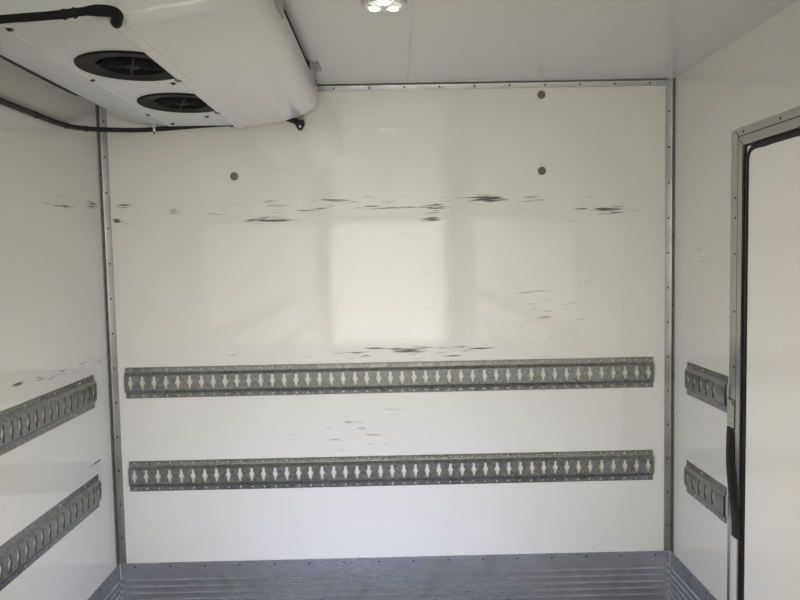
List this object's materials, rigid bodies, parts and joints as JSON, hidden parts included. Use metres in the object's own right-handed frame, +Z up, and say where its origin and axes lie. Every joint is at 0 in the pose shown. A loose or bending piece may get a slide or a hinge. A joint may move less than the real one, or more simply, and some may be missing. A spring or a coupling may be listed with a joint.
{
  "type": "refrigerated truck box body",
  "caption": "Insulated box body of a refrigerated truck with rear and side doors, lashing rails, a ceiling evaporator and a nose-mounted cooling unit.",
  "frame": {"origin": "middle of the underside of the subframe's front cross beam, on the centre line", "axes": "+Y forward to the truck's cab, +X to the kerb side, +Z up"},
  "size_m": [2.653, 10.423, 2.745],
  "materials": {
    "black_plastic": "black moulded",
    "dark_metal": "black paint",
    "fins": "finned",
    "floor": "gritted grey coating",
    "foam": "black foam sleeve",
    "galvanised": "dull galvanised",
    "grey_plastic": "satin",
    "lens": "clear lens",
    "panel": "glossy white laminate",
    "profile": "mill finish",
    "seal": "black rubber",
    "stainless": "brushed",
    "white_metal": "satin white paint",
    "white_plastic": "glossy moulded"
  },
  "bodies": {
    "load_body": {"subframe": "galvanised", "cross_beams": "galvanised", "fixing_consoles": "galvanised", "floor_panel": "panel", "floor_tread": "floor", "front_wall": "panel", "left_wall": "panel", "right_wall": "panel", "roof_panel": "panel", "roof_edges": "profile", "base_edges": "profile", "corner_posts": "profile", "rear_portal": "stainless", "portal_fittings": "stainless", "side_door_frame": "profile", "side_door_lugs": "stainless", "inner_trims": "profile", "kick_plates": "profile", "front_tracks": "galvanised", "side_tracks": "galvanised", "wall_plugs": "grey_plastic", "ceiling_lamps": "lens", "marker_lamps": "lens", "evaporator_case": "white_plastic", "evaporator_plate": "white_metal", "fan_guards": "black_plastic", "evaporator_coil": "fins", "outlet_grille": "black_plastic", "evaporator_hangers": "profile", "refrigerant_pipe": "foam", "fan_cable": "foam", "nose_housing": "white_plastic", "nose_frame": "dark_metal", "condenser_coil": "fins", "drive_block": "dark_metal"},
    "rear_door_left": {"rear_leaf_left": "panel", "rear_seal_left": "seal", "rear_hardware_left": "stainless"},
    "rear_door_right": {"rear_leaf_right": "panel", "rear_seal_right": "seal", "rear_hardware_right": "stainless"},
    "side_door": {"side_leaf": "panel", "side_seal": "seal", "side_hardware": "stainless"},
    "evaporator_fan_front": {"evaporator_rotor_front": "black_plastic"},
    "evaporator_fan_rear": {"evaporator_rotor_rear": "black_plastic"},
    "condenser_fan_left": {"condenser_rotor_left": "black_plastic"},
    "condenser_fan_right": {"condenser_rotor_right": "black_plastic"}
  },
  "joints": [
    {"name": "rear_left_hinge", "type": "hinge", "parent": "load_body", "child": "rear_door_left", "pos_m": [-1.29, -9.82, 1.46], "axis": [0, 0, -1], "range_deg": [0, 270]},
    {"name": "rear_right_hinge", "type": "hinge", "parent": "load_body", "child": "rear_door_right", "pos_m": [1.29, -9.82, 1.46], "axis": [0, 0, 1], "range_deg": [0, 270]},
    {"name": "side_door_hinge", "type": "hinge", "parent": "load_body", "child": "side_door", "pos_m": [1.334, -1.5, 1.31], "axis": [0, 0, -1], "range_deg": [0, 180]},
    {"name": "evaporator_front_spin", "type": "hinge", "parent": "load_body", "child": "evaporator_fan_front", "pos_m": [-0.718, -0.46, 2.495], "axis": [0, 0, 1], "continuous": true},
    {"name": "evaporator_rear_spin", "type": "hinge", "parent": "load_body", "child": "evaporator_fan_rear", "pos_m": [-0.718, -0.935, 2.495], "axis": [0, 0, 1], "continuous": true},
    {"name": "condenser_left_spin", "type": "hinge", "parent": "load_body", "child": "condenser_fan_left", "pos_m": [-0.45, 0.4, 2.425], "axis": [0, 1, 0], "continuous": true},
    {"name": "condenser_right_spin", "type": "hinge", "parent": "load_body", "child": "condenser_fan_right", "pos_m": [0.45, 0.4, 2.425], "axis": [0, 1, 0], "continuous": true}
  ]
}
